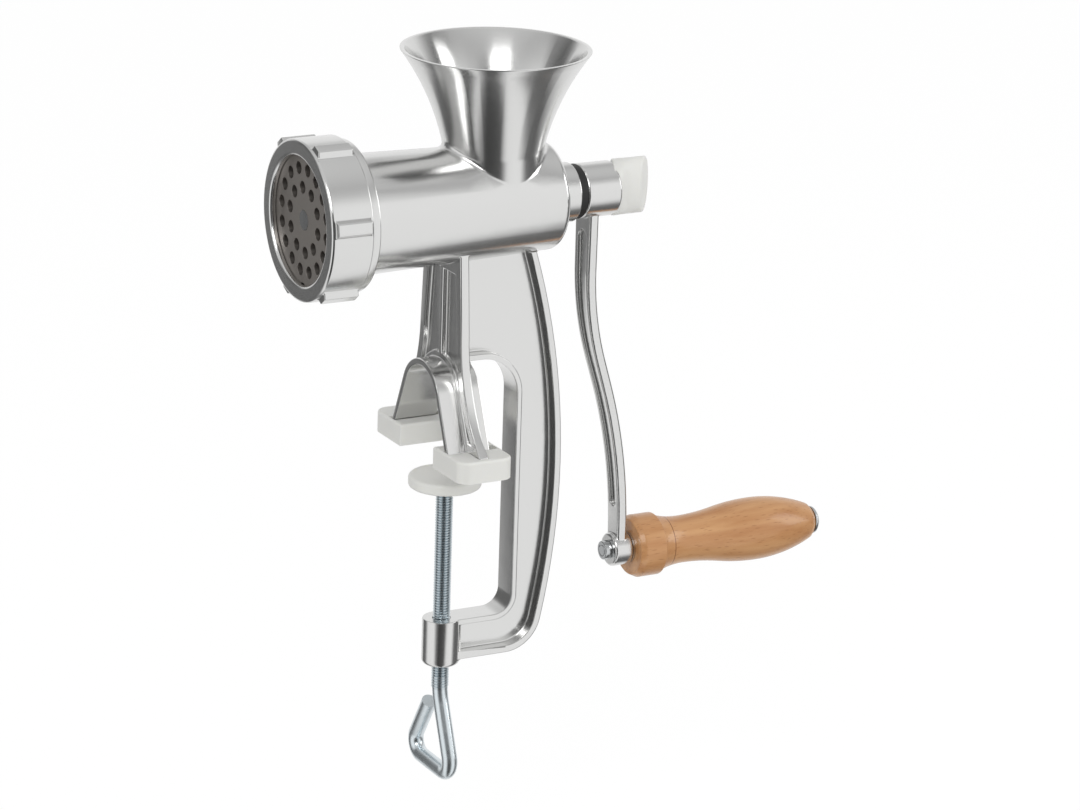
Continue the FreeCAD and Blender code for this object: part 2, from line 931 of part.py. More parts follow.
def arm_band(name, front, back):
    """The S-shaped side view of the arm between two offsets from its centre line."""
    bend = d.arm_bend
    high, low = d.arm_high_bend, d.arm_low_bend
    straight = (d.arm_shift - (high + low) * (1 - cosine(bend))) / sine(bend)
    foot = d.grip_boss_radius - d.crank_radius
    low_x, low_z = d.arm_offset + d.arm_shift, foot
    low_centre = (low_x - low, low_z)
    turn_z = low_z + low * sine(bend)
    turn_x = low_centre[0] + low * cosine(bend)
    rise_x = turn_x - straight * sine(bend)
    rise_z = turn_z + straight * cosine(bend)
    high_z = rise_z + high * sine(bend)

    def side(offset):
        lean_x, lean_z = offset * cosine(bend), offset * sine(bend)
        return (
            (d.arm_offset + offset, 0),
            (d.arm_offset + offset, high_z),
            (rise_x + lean_x, rise_z + lean_z),
            (turn_x + lean_x, turn_z + lean_z),
            (low_x + offset, low_z),
            (low_x + offset, -d.crank_radius),
        )

    left, right = side(front), side(back)
    drawing = loose_sketch(name, "XZ")
    outline(
        drawing,
        left[0],
        left[1],
        (*left[2], high - front),
        left[3],
        (*left[4], -(low + front)),
        left[5],
        right[5],
        right[4],
        (*right[3], low + back),
        right[2],
        (*right[1], -(high - back)),
        right[0],
    )
    return extrusion(drawing, d.arm_high_width * 2)


def arm_front(name, rim, start, end, rounded):
    """The tapered front view of the arm, inside by the rim, between two distances from the hub."""
    drawing = loose_sketch(name, "YZ")
    slope = (d.arm_high_width - d.arm_low_width) / 2 / d.crank_radius

    def half(distance):
        return d.arm_high_width / 2 - slope * distance - rim

    top, foot = half(start), half(end)
    if rounded:
        outline(
            drawing,
            (-foot, -end),
            (foot, -end, foot + d.arc_slack),
            (top, -start),
            (-top, -start, top + d.arc_slack),
        )
    else:
        outline(drawing, (-top, -start), (-foot, -end), (foot, -end), (top, -start))
    return extrusion(drawing, d.crank_radius * 2)


def cylinder(name, radius, front, back, height):
    """A round bar along X between two places, at a height above the barrel's axis."""
    new = doc.addObject("Part::Cylinder", name)
    bind(new, "Radius", radius)
    bind(new, "Height", back - front)
    new.Placement.Rotation = FreeCAD.Rotation(Vector(0, 1, 0), 90)
    bind(new, "Placement.Base.x", front)
    bind(new, "Placement.Base.z", as_size(height))
    return new


def fillet(name, base, radius, wanted):
    new = doc.addObject("Part::Fillet", name)
    new.Base = base
    width = radius.value
    edges = enumerate(base.Shape.Edges, start=1)
    new.Edges = [(number, width, width) for number, edge in edges if wanted(edge)]
    doc.recompute()
    return new


def make_crank_arm():
    half = d.arm_thickness / 2
    band = arm_band("arm_side", -half, half)
    taper = arm_front("arm_front", as_size(0), as_size(0), d.crank_radius, False)
    bar = meeting("MultiCommon", "arm_bar", band, taper)
    slope = (SIZES["arm_high_width"] - SIZES["arm_low_width"]) / 2 / SIZES["crank_radius"]

    def long_edge(edge):
        point = middle(edge)
        edge_half = SIZES["arm_high_width"] / 2 + slope * point.z
        return abs(abs(point.y) - edge_half) < NEAR and edge.BoundBox.ZLength > SIZES["arm_thickness"]

    soft = fillet("arm_soft", bar, d.arm_rounding, long_edge)
    skin = arm_band("channel_side", -half - d.overlap, d.channel_depth - half)
    slot = arm_front("channel_front", d.channel_rim, d.channel_start, d.channel_end, True)
    channel = meeting("MultiCommon", "arm_channel", skin, slot)
    arm = meeting("Cut", "arm_grooved", soft, channel)

    hub = cylinder("hub_bar", d.hub_radius, hub_front, hub_back, 0)
    boss = cylinder("boss_bar", d.grip_boss_radius, d.grip_boss_front, d.grip_boss_back, -d.crank_radius)
    doc.recompute()
    hub = fillet("hub_soft", hub, d.hub_rounding, lambda edge: edge.BoundBox.XLength < 1e-6)
    boss = fillet("boss_soft", boss, d.hub_rounding, lambda edge: edge.BoundBox.XLength < 1e-6)
    whole = meeting("MultiFuse", "crank_whole", arm, hub, boss)
    whole.Refine = True

    square = doc.addObject("Part::Box", "drive_hole")
    bind(square, "Length", d.hub_length + d.overlap * 2)
    bind(square, "Width", d.drive_square)
    bind(square, "Height", d.drive_square)
    bind(square, "Placement.Base.x", hub_front - d.overlap)
    bind(square, "Placement.Base.y", -d.drive_square / 2)
    bind(square, "Placement.Base.z", -d.drive_square / 2)
    front, back = d.grip_boss_front - d.overlap, d.grip_boss_back + d.overlap
    hole = cylinder("bolt_hole", d.bolt_thread_radius, front, back, -d.crank_radius)
    holes = meeting("MultiFuse", "crank_holes", square, hole)
    crank_arm = meeting("Cut", "crank_arm", whole, holes)
    bind(crank_arm, "Placement.Base.z", d.barrel_height)
    sub_parts.append(crank_arm)


def make_thumb_screw():
    thumb_screw = body("thumb_screw", d.barrel_height)
    start = hub_back + d.face_gap * 2
    seat = hub_back + d.face_gap + d.thumb_washer_thickness + d.face_gap
    collar_end = start + d.wing_collar_length
    profile = sketch(thumb_screw, "XZ_Plane")
    turn = d.wing_rounding
    outline(
        profile,
        (start, 0),
        (start, d.wing_collar),
        (collar_end - turn, d.wing_collar),
        (collar_end, d.wing_collar - turn, -turn),
        (collar_end, 0),
    )
    revolve(profile)
    wing = sketch(thumb_screw, "YZ_Plane", z=collar_end - d.overlap)
    half, thick, thin = d.wing_height / 2, d.wing_root / 2, d.wing_tip / 2
    outline(
        wing,
        (thick, 0),
        (thin, half - thin),
        (-thin, half - thin, thin + d.arc_slack),
        (-thick, 0),
        (-thin, thin - half),
        (thin, thin - half, thin + d.arc_slack),
    )
    pad(wing, d.wing_end - collar_end + d.overlap, both=False)
    soften(
        thumb_screw,
        "Fillet",
        d.wing_rounding,
        lambda edge: edge.BoundBox.XMin > SIZES["wing_end"] - NEAR,
    )
    recess = sketch(thumb_screw, "YZ_Plane", z=start)
    ring_outline(recess, d.thumb_washer_radius + d.free_gap)
    pocket(recess, seat - start, back=True)
    hole = sketch(thumb_screw, "YZ_Plane", z=start)
    ring_outline(hole, d.thumb_stud_radius)
    pocket(hole, (d.wing_end - start) * d.thumb_stud_share, back=True)

    thumb_stud = body("thumb_stud", d.barrel_height)
    rod = sketch(thumb_stud, "YZ_Plane", z=drive_back - d.thumb_stud_reach)
    ring_outline(rod, d.thumb_stud_radius)
    pad(rod, start + (d.wing_end - start) * d.thumb_stud_share - drive_back + d.thumb_stud_reach, both=False)

    thumb_washer = body("thumb_washer", d.barrel_height)
    washer = sketch(thumb_washer, "YZ_Plane", z=hub_back + d.face_gap)
    ring_outline(washer, d.thumb_washer_radius)
    ring_outline(washer, d.thumb_stud_radius + d.running_fit)
    pad(washer, d.thumb_washer_thickness, both=False)


def make_grip():
    grip = body("grip", grip_height)
    profile = sketch(grip, "XZ_Plane")
    hole = d.bolt_radius + d.running_fit
    start, end = d.grip_start, d.grip_end
    collar, neck, bulge = d.grip_collar_radius, d.grip_neck_radius, d.grip_bulge_radius
    collar_end, neck_place, bulge_place = d.grip_collar_end, d.grip_neck_place, d.grip_bulge_place
    turn = d.grip_end_rounding

    def curve(run, rise):
        """The radius of an arc that is level at one end and rises by this much over this run."""
        return (run * run + rise * rise) / (rise * 2)

    cove = curve(neck_place - collar_end, collar - d.grip_collar_step - neck)
    swell_run, swell_rise = (bulge_place - neck_place) / 2, (bulge - neck) / 2
    swell = curve(swell_run, swell_rise)
    tail = curve(end - turn - bulge_place, bulge - d.grip_end_radius)
    outline(
        profile,
        (start, hole),
        (start, collar - d.grip_collar_chamfer / 2),
        (start + d.grip_collar_chamfer, collar),
        (collar_end, collar),
        (collar_end, collar - d.grip_collar_step),
        (neck_place, neck, cove),
        (neck_place + swell_run, neck + swell_rise, swell),
        (bulge_place, bulge, -swell),
        (end - turn, d.grip_end_radius, -tail),
        (end, d.grip_end_radius - turn),
        (end, hole),
    )
    revolve(profile)

    grip_bolt = body("grip_bolt", grip_height)
    rod = sketch(grip_bolt, "XZ_Plane")
    head, rise = d.bolt_head_radius, d.bolt_head_height
    rim = rise / 4
    dome = (head * head + (rise - rim) * (rise - rim)) / ((rise - rim) * 2)
    outline(
        rod,
        (d.grip_boss_front - d.nut_length, 0),
        (d.grip_boss_front - d.nut_length, d.bolt_thread_radius),
        (d.grip_boss_back, d.bolt_thread_radius),
        (d.grip_boss_back, d.bolt_radius),
        (end + d.face_gap, d.bolt_radius),
        (end + d.face_gap, head),
        (end + d.face_gap + rim, head),
        (end + d.face_gap + rise, 0, -dome),
    )
    revolve(rod)

    grip_nut = body("grip_nut", grip_height)
    nut = sketch(grip_nut, "YZ_Plane", z=d.grip_boss_front)
    ring_outline(nut, d.nut_radius)
    ring_outline(nut, d.bolt_thread_radius)
    pad(nut, d.nut_length, both=False, back=True)

    grip_washer = body("grip_washer", grip_height)
    washer = sketch(grip_washer, "YZ_Plane", z=d.grip_boss_back)
    ring_outline(washer, d.grip_washer_radius)
    ring_outline(washer, d.bolt_radius)
    pad(washer, d.grip_washer_thickness, both=False)


# Clamp: swivelling pressure disc and the bent screw
def make_pressure_disc():
    pressure_disc = body("pressure_disc")
    profile = sketch(pressure_disc, "XZ_Plane")
    top, bottom = d.disc_top, d.disc_top - d.disc_thickness
    turn = d.disc_rounding
    neck = d.swivel_neck + d.free_gap
    outline(
        profile,
        (neck, bottom),
        (d.disc_radius - turn, bottom),
        (d.disc_radius, bottom + turn, turn),
        (d.disc_radius, top - turn),
        (d.disc_radius - turn, top, turn),
        (0, top),
        (0, top - d.socket_roof),
        (d.socket_radius, top - d.socket_roof),
        (d.socket_radius, bottom + d.socket_floor),
        (neck, bottom + d.socket_floor),
    )
    revolve(profile, "V_Axis")


def bent_path(points, radius):
    """Straight runs through the points, joined by tangent arcs of the radius."""
    edges = []
    start = points[0]
    for before, corner, after in zip(points, points[1:], points[2:]):
        inward, outward = (before - corner).normalize(), (after - corner).normalize()
        half = inward.getAngle(outward) / 2
        reach = radius / math.tan(half)
        first, last = corner + inward * reach, corner + outward * reach
        depth = radius / math.sin(half) - radius
        crest = corner + (inward + outward).normalize() * depth
        edges.append(Part.LineSegment(start, first).toShape())
        edges.append(Part.Arc(first, crest, last).toShape())
        start = last
    edges.append(Part.LineSegment(start, points[-1]).toShape())
    return Part.Wire(edges)


def make_clamp_screw():
    bottom = d.disc_top - d.disc_thickness
    shoulder = (bottom - d.face_gap).value
    head_low = (bottom + d.socket_floor + d.face_gap).value
    head_high = (d.disc_top - d.socket_roof - d.face_gap).value
    corners = [
        Vector(0, 0, shoulder),
        Vector(0, 0, SIZES["loop_start"]),
        Vector(0, -SIZES["loop_near"], SIZES["loop_bottom"]),
        Vector(0, SIZES["loop_far"], SIZES["loop_bottom"]),
        Vector(0, SIZES["loop_tail"], SIZES["loop_tail_top"]),
    ]
    path = bent_path(corners, SIZES["loop_bend"])
    ring = Part.Wire(Part.makeCircle(SIZES["screw_radius"], corners[0]))
    rod = path.makePipeShell([ring], True, True)
    neck = Part.makeCylinder(SIZES["swivel_neck"], head_low - shoulder, Vector(0, 0, shoulder))
    head = Part.makeCylinder(SIZES["swivel_radius"], head_high - head_low, Vector(0, 0, head_low))
    clamp_screw = doc.addObject("Part::Feature", "clamp_screw")
    clamp_screw.Shape = rod.fuse([neck, head]).removeSplitter()
    clamp_screw.Placement = FreeCAD.Placement()
    sub_parts.append(clamp_screw)


make_housing()
make_foot_pad("foot_pad_near", -1)
make_foot_pad("foot_pad_far", 1)
make_cutting_plate()
make_plate_key()
make_locking_ring()
make_knife()
make_knife_stud()
make_auger()
make_rear_bush()
make_shaft_seal()
make_crank_arm()
make_thumb_screw()
make_grip()
make_pressure_disc()
make_clamp_screw()
doc.recompute()

failed = [item.Name for item in doc.Objects if {"Invalid", "Error"} & set(item.State)]
for part in sub_parts:
    if part.Shape.isNull() or not part.Shape.isValid() or len(part.Shape.Solids) != 1:
        failed.append(part.Label)
if failed:
    raise ValueError(f"not built: {failed}")

os.makedirs("parts", exist_ok=True)
for part in sub_parts:
    part.Shape.exportStep(f"parts/{part.Label}.step")
    box = part.Shape.BoundBox
    sides = ((box.XMin, box.XMax), (box.YMin, box.YMax), (box.ZMin, box.ZMax))
    print(part.Label, *(f"{low:.1f} to {high:.1f}" for low, high in sides))
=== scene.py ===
import json
import math

import bpy
from mathutils import Matrix, Vector


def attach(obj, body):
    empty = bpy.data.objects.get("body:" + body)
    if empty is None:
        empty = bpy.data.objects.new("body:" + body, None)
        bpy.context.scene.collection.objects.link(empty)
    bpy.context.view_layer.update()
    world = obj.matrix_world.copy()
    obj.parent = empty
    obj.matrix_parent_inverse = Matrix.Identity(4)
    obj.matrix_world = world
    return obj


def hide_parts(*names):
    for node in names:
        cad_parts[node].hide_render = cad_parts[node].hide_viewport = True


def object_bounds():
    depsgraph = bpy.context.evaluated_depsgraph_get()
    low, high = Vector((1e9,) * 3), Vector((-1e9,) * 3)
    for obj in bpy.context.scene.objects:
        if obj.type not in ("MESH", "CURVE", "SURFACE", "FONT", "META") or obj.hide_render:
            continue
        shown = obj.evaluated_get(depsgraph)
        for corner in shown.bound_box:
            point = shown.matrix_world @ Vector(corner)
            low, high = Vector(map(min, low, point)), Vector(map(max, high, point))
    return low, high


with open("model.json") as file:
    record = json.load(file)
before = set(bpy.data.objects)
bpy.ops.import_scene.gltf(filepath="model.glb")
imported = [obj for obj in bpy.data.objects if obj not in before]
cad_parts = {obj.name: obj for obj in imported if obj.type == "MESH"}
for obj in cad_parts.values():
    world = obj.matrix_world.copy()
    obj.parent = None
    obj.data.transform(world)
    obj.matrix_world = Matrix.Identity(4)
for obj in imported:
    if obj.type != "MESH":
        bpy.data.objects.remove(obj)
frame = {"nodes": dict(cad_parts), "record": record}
cad_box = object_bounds()
MM = 0.001

# The camera, as fitted to the photograph of 1080 by 810 pixels: the bearing and height that it
# looks from, its roll, its focal length, its distance, and the pixel where it sees a point on the
# clamp screw's axis
PHOTO = (1080, 810)
AZIMUTH = math.radians(-28.407)
ELEVATION = math.radians(17.615)
ROLL = math.radians(1.819)
FOCAL_PIXELS = 4565.4
DISTANCE = 2.0475
SEEN_POINT = Vector((0, 0, 18 * MM))
SEEN_PIXEL = (446.54, 414.73)
SENSOR = 36
FAR_CLIP = 50

# The height of the barrel's axis, as in the solids
BARREL_AXIS = 115.7 * MM

# How far the edges of each cast, turned, moulded or ground piece are rounded
EDGE_ROUNDINGS = {
    "housing": 0.7 * MM,
    "locking_ring": 0.6 * MM,
    "crank_arm": 0.5 * MM,
    "cutting_plate": 0.25 * MM,
    "grip_nut": 0.5 * MM,
    "grip": 0.4 * MM,
    "grip_bolt": 0.2 * MM,
    "shaft_seal": 0.3 * MM,
    "pressure_disc": 0.3 * MM,
}

# How meshes are joined and shaded: points this near are one, faces this flat are one, and edges
# sharper than these are rounded, in so many segments, or left as creases
WELD = 0.001 * MM
FLAT_ANGLE = math.radians(0.5)
SHARP_ANGLE = math.radians(35)
CREASE_ANGLE = math.radians(38)
THREAD_CREASE = math.radians(40)
ROUNDING_SEGMENTS = 2

# The clamp screw: an M8 rod threaded down to where it is bent into a loop, and the neck and head
# that the disc turns on, each as a radius and the heights of its ends
THREAD_PITCH = 1.25 * MM
THREAD_CREST = 4.0 * MM
THREAD_ROOT = 3.3 * MM
THREAD_STEPS = 28
THREAD_TOP = -15.8 * MM
LOOP_START = -115 * MM
LOOP_BOTTOM = -152 * MM
LOOP_NEAR = -15 * MM
LOOP_FAR = 28 * MM
LOOP_TAIL = (9.9 * MM, -123 * MM)
LOOP_BENDS = (30 * MM, 6.5 * MM, 6.5 * MM)
LOOP_SHANK = 8 * MM
ROD_RADIUS = 3.6 * MM
ROD_FINENESS = 8
THREAD_END = -113 * MM
SWIVEL_SIDES = 48
SWIVEL = ((2.8 * MM, -15.8 * MM, -14.0 * MM), (4.2 * MM, -14.1 * MM, -11.9 * MM))

# The light tent as polished metal shows it: tones of its walls round a turn from behind the object
# past the right to the photographer at a half and on past the left, tones from level to overhead,
# where the roof takes over from the walls, and the even light that everything else gets
TENT_WALLS = (
    (0.00, 0.95),
    (0.13, 0.90),
    (0.19, 0.12),
    (0.27, 0.18),
    (0.31, 1.00),
    (0.40, 0.95),
    (0.44, 0.10),
    (0.54, 0.05),
    (0.58, 0.25),
    (0.61, 1.00),
    (0.73, 0.95),
    (0.77, 0.25),
    (0.80, 0.15),
    (0.85, 0.12),
    (0.875, 0.85),
    (1.00, 0.95),
)
TENT_ROOF = ((0.0, 0.5), (0.6, 0.35), (0.8, 0.6), (1.0, 0.75))
TENT_HEIGHT = ((0.0, 0.0), (0.45, 0.0), (0.75, 1.0))
TENT_FILL = 0.66

# The paper under the object: its size and its gap below the screw's reach, how far the metal shows
# it white before it shows the tent's walls, how much of it the camera sees as plain white over its
# own light and shadow, and how bright that white is
PAPER_SIZE = 12
PAPER_GAP = 0.5 * MM
PAPER_REACH = 0.16
PAPER_GLOW = 0.90
PAPER_WHITE = 1.04

# The lamps: place, aim, width and height, and power
SOFTBOXES = {
    "key_softbox": ((-1.2, -1.6, 1.6), (0, 0, 0.05), (1.2, 1.2), 17),
    "side_softbox": ((1.8, -1.0, 0.8), (0.05, 0, 0.0), (0.8, 1.4), 9),
}

# The thumb screw: where it starts, its length and its collar's cage radius, and along it the share
# of the length with the thinning and the growth in height from the section before
WING = (79.95 * MM, 18.0 * MM, 14.2 * MM)
WING_SIDES = 8
WING_LEVELS = 4
WING_SECTIONS = (
    (0.03, 1, 1),
    (0.24, 1, 1),
    (0.38, 0.8, 1),
    (0.60, 0.65, 1.02),
    (0.94, 0.9, 1),
    (1.00, 0.97, 0.99),
)

# The fine line that the lathe left round the grip, and half its width
TURNED_LINE = 115 * MM
TURNED_HALF = 0.25 * MM


# Small helpers
def linear(colour):
    """The linear colour of an sRGB hex value."""
    parts = [int(colour[i:i + 2], 16) / 255 for i in (1, 3, 5)]
    return [c / 12.92 if c <= 0.04045 else ((c + 0.055) / 1.055) ** 2.4 for c in parts] + [1.0]


def add_node(tree, kind, settings=None, **inputs):
    """Add a node with its settings, and set or link its inputs. They go by their names with _ for
    a space, or by _ and their number."""
    new = tree.nodes.new(kind)
    for name, value in (settings or {}).items():
        setattr(new, name, value)
    for name, value in inputs.items():
        key = int(name[1:]) if name[1:].isdigit() else name.replace("_", " ")
        socket = new.inputs[key]
        if isinstance(value, bpy.types.NodeSocket):
            tree.links.new(value, socket)
        else:
            socket.default_value = value
    return new


def new_material(name):
    material = bpy.data.materials.new(name)
    material.use_nodes = True
    material.node_tree.nodes.clear()
    return material, material.node_tree


def finish_material(tree, shader):
    add_node(tree, "ShaderNodeOutputMaterial", Surface=shader.outputs[0])


def deselect():
    if bpy.context.object and bpy.context.object.mode != "OBJECT":
        bpy.ops.object.mode_set(mode="OBJECT")
    bpy.ops.object.select_all(action="DESELECT")


def make_active(piece):
    deselect()
    piece.select_set(True)
    bpy.context.view_layer.objects.active = piece


def edit_all():
    """Edit mode with the whole of the active piece selected."""
    bpy.ops.object.mode_set(mode="EDIT")
    bpy.ops.mesh.select_all(action="SELECT")


def apply_modifiers(piece):
    make_active(piece)
    for modifier in list(piece.modifiers):
        bpy.ops.object.modifier_apply(modifier=modifier.name)


# Materials
def polished_aluminium(name, low, high):
    """Polished cast aluminium: bright and mirror-like, with slight waves that buffing leaves."""
    material, tree = new_material(name)
    place = add_node(tree, "ShaderNodeTexCoord").outputs["Object"]
    waves = add_node(tree, "ShaderNodeTexNoise", Vector=place, Scale=1 / (14 * MM), Detail=1.0)
    grain = add_node(tree, "ShaderNodeTexNoise", Vector=place, Scale=1 / (1.5 * MM), Detail=3.0)
    rough = add_node(
        tree, "ShaderNodeMapRange", Value=grain.outputs["Fac"], To_Min=low, To_Max=high
    )
    bump = add_node(
        tree, "ShaderNodeBump", Height=waves.outputs["Fac"], Strength=0.10, Distance=0.6 * MM
    )
    shader = add_node(
        tree,
        "ShaderNodeBsdfPrincipled",
        Base_Color=linear("#dededd"),
        Metallic=1.0,
        Roughness=rough.outputs["Result"],
        Normal=bump.outputs["Normal"],
    )
    finish_material(tree, shader)
    return material


def ground_steel(name, colour, low, high):
    """Ground tool steel: grey metal with fine parallel scratches."""
    material, tree = new_material(name)
    place = add_node(tree, "ShaderNodeTexCoord").outputs["Object"]
    stretch = add_node(tree, "ShaderNodeMapping", Vector=place, Scale=(1, 1, 0.06))
    lines = add_node(
        tree, "ShaderNodeTexNoise", Vector=stretch.outputs[0], Scale=1 / (0.6 * MM), Detail=2.0
    )
    rough = add_node(
        tree, "ShaderNodeMapRange", Value=lines.outputs["Fac"], To_Min=low, To_Max=high
    )
    bump = add_node(
        tree, "ShaderNodeBump", Height=lines.outputs["Fac"], Strength=0.15, Distance=0.05 * MM
    )
    shader = add_node(
        tree,
        "ShaderNodeBsdfPrincipled",
        Base_Color=linear(colour),
        Metallic=1.0,
        Roughness=rough.outputs["Result"],
        Normal=bump.outputs["Normal"],
    )
    finish_material(tree, shader)
    return material


def zinc_plate(name):
    """Bright zinc plating: bluish silver, with painted shade darkening the roots of the thread."""
    material, tree = new_material(name)
    place = add_node(tree, "ShaderNodeTexCoord").outputs["Object"]
    # Painted shade: the thread is painted darker towards its roots, as the shade that falls in
    # them, and lighter towards its crests; the plain rod below the thread stays light.
    flat = add_node(tree, "ShaderNodeMapping", Vector=place, Scale=(1, 1, 0))
    radius = add_node(tree, "ShaderNodeVectorMath", {"operation": "LENGTH"}, _0=flat.outputs[0])
    depth = add_node(
        tree,
        "ShaderNodeMapRange",
        Value=radius.outputs["Value"],
        From_Min=THREAD_ROOT,
        From_Max=THREAD_CREST,
    )
    axes = add_node(tree, "ShaderNodeSeparateXYZ", Vector=place)
    plain = add_node(
        tree, "ShaderNodeMath", {"operation": "LESS_THAN"}, _0=axes.outputs["Z"], _1=THREAD_END
    )
    unshaded = add_node(
        tree,
        "ShaderNodeMath",
        {"operation": "MAXIMUM"},
        _0=depth.outputs["Result"],
        _1=plain.outputs[0],
    )
    colour = add_node(
        tree,
        "ShaderNodeMix",
        {"data_type": "RGBA"},
        _0=unshaded.outputs[0],
        _6=linear("#b2bdc3"),
        _7=linear("#e0e8ec"),
    )
    clouds = add_node(tree, "ShaderNodeTexNoise", Vector=place, Scale=1 / (4 * MM), Detail=2.0)
    rough = add_node(
        tree, "ShaderNodeMapRange", Value=clouds.outputs["Fac"], To_Min=0.24, To_Max=0.34
    )
    shader = add_node(
        tree,
        "ShaderNodeBsdfPrincipled",
        Base_Color=colour.outputs[2],
        Metallic=1.0,
        Roughness=rough.outputs["Result"],
    )
    finish_material(tree, shader)
    return material


def milky_plastic(name, colour):
    """Moulded plastic without pigment: milky, soft sheen, light passes a few millimetres in."""
    material, tree = new_material(name)
    place = add_node(tree, "ShaderNodeTexCoord").outputs["Object"]
    grain = add_node(tree, "ShaderNodeTexNoise", Vector=place, Scale=1 / (0.8 * MM), Detail=2.0)
    clouds = add_node(tree, "ShaderNodeTexNoise", Vector=place, Scale=1 / (9 * MM), Detail=1.0)
    rough = add_node(
        tree, "ShaderNodeMapRange", Value=clouds.outputs["Fac"], To_Min=0.38, To_Max=0.5
    )
    bump = add_node(
        tree, "ShaderNodeBump", Height=grain.outputs["Fac"], Strength=0.08, Distance=0.1 * MM
    )
    shader = add_node(
        tree,
        "ShaderNodeBsdfPrincipled",
        Base_Color=linear(colour),
        Roughness=rough.outputs["Result"],
        IOR=1.49,
        Subsurface_Weight=0.35,
        Subsurface_Radius=(1.0, 1.0, 0.9),
        Subsurface_Scale=2 * MM,
        Normal=bump.outputs["Normal"],
    )
    finish_material(tree, shader)
    return material


def black_rubber(name):
    """Smooth black rubber: dark, with a soft wide sheen."""
    material, tree = new_material(name)
    place = add_node(tree, "ShaderNodeTexCoord").outputs["Object"]
    grain = add_node(tree, "ShaderNodeTexNoise", Vector=place, Scale=1 / (1.2 * MM), Detail=2.0)
    rough = add_node(tree, "ShaderNodeMapRange", Value=grain.outputs["Fac"], To_Min=0.4, To_Max=0.6)
    shader = add_node(
        tree,
        "ShaderNodeBsdfPrincipled",
        Base_Color=linear("#1b1b1b"),
        Roughness=rough.outputs["Result"],
        IOR=1.52,
    )
    finish_material(tree, shader)
    return material


def lacquered_beech(name):
    """Turned beech under satin lacquer: orange-tan, straight grain along the handle, and the short
    dark flecks of its rays."""
    material, tree = new_material(name)
    place = add_node(tree, "ShaderNodeTexCoord").outputs["Object"]
    along = add_node(tree, "ShaderNodeMapping", Vector=place, Scale=(0.10, 1, 1))
    bands = add_node(
        tree, "ShaderNodeTexNoise", Vector=along.outputs[0], Scale=1 / (5 * MM), Detail=4.0
    )
    tint = add_node(tree, "ShaderNodeValToRGB", Fac=bands.outputs["Fac"])
    tint.color_ramp.elements[0].position = 0.30
    tint.color_ramp.elements[0].color = linear("#b9804d")
    tint.color_ramp.elements[1].position = 0.72
    tint.color_ramp.elements[1].color = linear("#d3a06d")
    thin = add_node(tree, "ShaderNodeMapping", Vector=place, Scale=(0.16, 1, 1))
    flecks = add_node(tree, "ShaderNodeTexVoronoi", Vector=thin.outputs[0], Scale=1 / (1.1 * MM))
    dash = add_node(
        tree,
        "ShaderNodeMapRange",
        Value=flecks.outputs["Distance"],
        From_Min=0.10,
        From_Max=0.28,
        To_Min=0.55,
        To_Max=0.0,
    )
    colour = add_node(
        tree,
        "ShaderNodeMix",
        {"data_type": "RGBA"},
        _0=dash.outputs["Result"],
        _6=tint.outputs["Color"],
        _7=linear("#9c6536"),
    )
    axes = add_node(tree, "ShaderNodeSeparateXYZ", Vector=place)
    line = add_node(
        tree,
        "ShaderNodeMath",
        {"operation": "COMPARE"},
        _0=axes.outputs["X"],
        _1=TURNED_LINE,
        _2=TURNED_HALF,
    )
    lined = add_node(
        tree,
        "ShaderNodeMix",
        {"data_type": "RGBA"},
        _0=line.outputs[0],
        _6=colour.outputs[2],
        _7=linear("#8f5c33"),
    )
    bump = add_node(
        tree, "ShaderNodeBump", Height=bands.outputs["Fac"], Strength=0.06, Distance=0.2 * MM
    )
    shader = add_node(
        tree,
        "ShaderNodeBsdfPrincipled",
        Base_Color=lined.outputs[2],
        Roughness=0.38,
        IOR=1.5,
        Coat_Weight=0.45,
        Coat_Roughness=0.14,
        Normal=bump.outputs["Normal"],
    )
    finish_material(tree, shader)
    return material


finishes = {
    "cast_aluminium": polished_aluminium("polished_cast_aluminium", 0.16, 0.24),
    "plate_steel": ground_steel("ground_plate_steel", "#a09b96", 0.45, 0.6),
    "bright_steel": ground_steel("bright_turned_steel", "#c9cbcc", 0.14, 0.24),
    "zinc_steel": zinc_plate("zinc_plated_steel"),
    "white_plastic": milky_plastic("milky_polypropylene", "#e6e6e2"),
    "bush_plastic": milky_plastic("natural_acetal", "#e2e0d6"),
    "black_rubber": black_rubber("black_rubber"),
    "beech": lacquered_beech("lacquered_beech"),
}


def finish_piece(piece, slot):
    piece.data.materials.clear()
    piece.data.materials.append(finishes[slot])


# Every solid takes its finish from its slot in the record
slot_of = {entry["node"]: entry["material_slot"] for entry in frame["record"]["subparts"]}
bodies = frame["record"]["behaviour"]["bodies"]
body_of = {node: body for body, nodes in bodies.items() for node in nodes}
for node, slot in slot_of.items():
    solid = frame["nodes"][node]
    solid.data.materials.clear()
    solid.data.materials.append(finishes[slot])


# Pieces whose solids have the right shape, with their edges rounded
def dress(node, width):
    """A copy of a solid with its edges rounded, in place of the solid."""
    solid = frame["nodes"][node]
    mesh = solid.data.copy()
    mesh.transform(solid.matrix_world)
    piece = bpy.data.objects.new(f"dressed_{node}", mesh)
    bpy.context.scene.collection.objects.link(piece)
    make_active(piece)
    bpy.ops.mesh.customdata_custom_splitnormals_clear()
    edit_all()
    bpy.ops.mesh.remove_doubles(threshold=WELD)
    bpy.ops.mesh.dissolve_limited(angle_limit=FLAT_ANGLE)
    bpy.ops.object.mode_set(mode="OBJECT")
    rounding = piece.modifiers.new("rounding", "BEVEL")
    rounding.width = width
    rounding.segments = ROUNDING_SEGMENTS
    rounding.limit_method = "ANGLE"
    rounding.angle_limit = SHARP_ANGLE
    rounding.use_clamp_overlap = False
    apply_modifiers(piece)
    bpy.ops.object.shade_smooth_by_angle(angle=CREASE_ANGLE)
    shading = piece.modifiers.new("shading", "WEIGHTED_NORMAL")
    shading.keep_sharp = True
    apply_modifiers(piece)
    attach(piece, body_of[node])
    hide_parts(node)


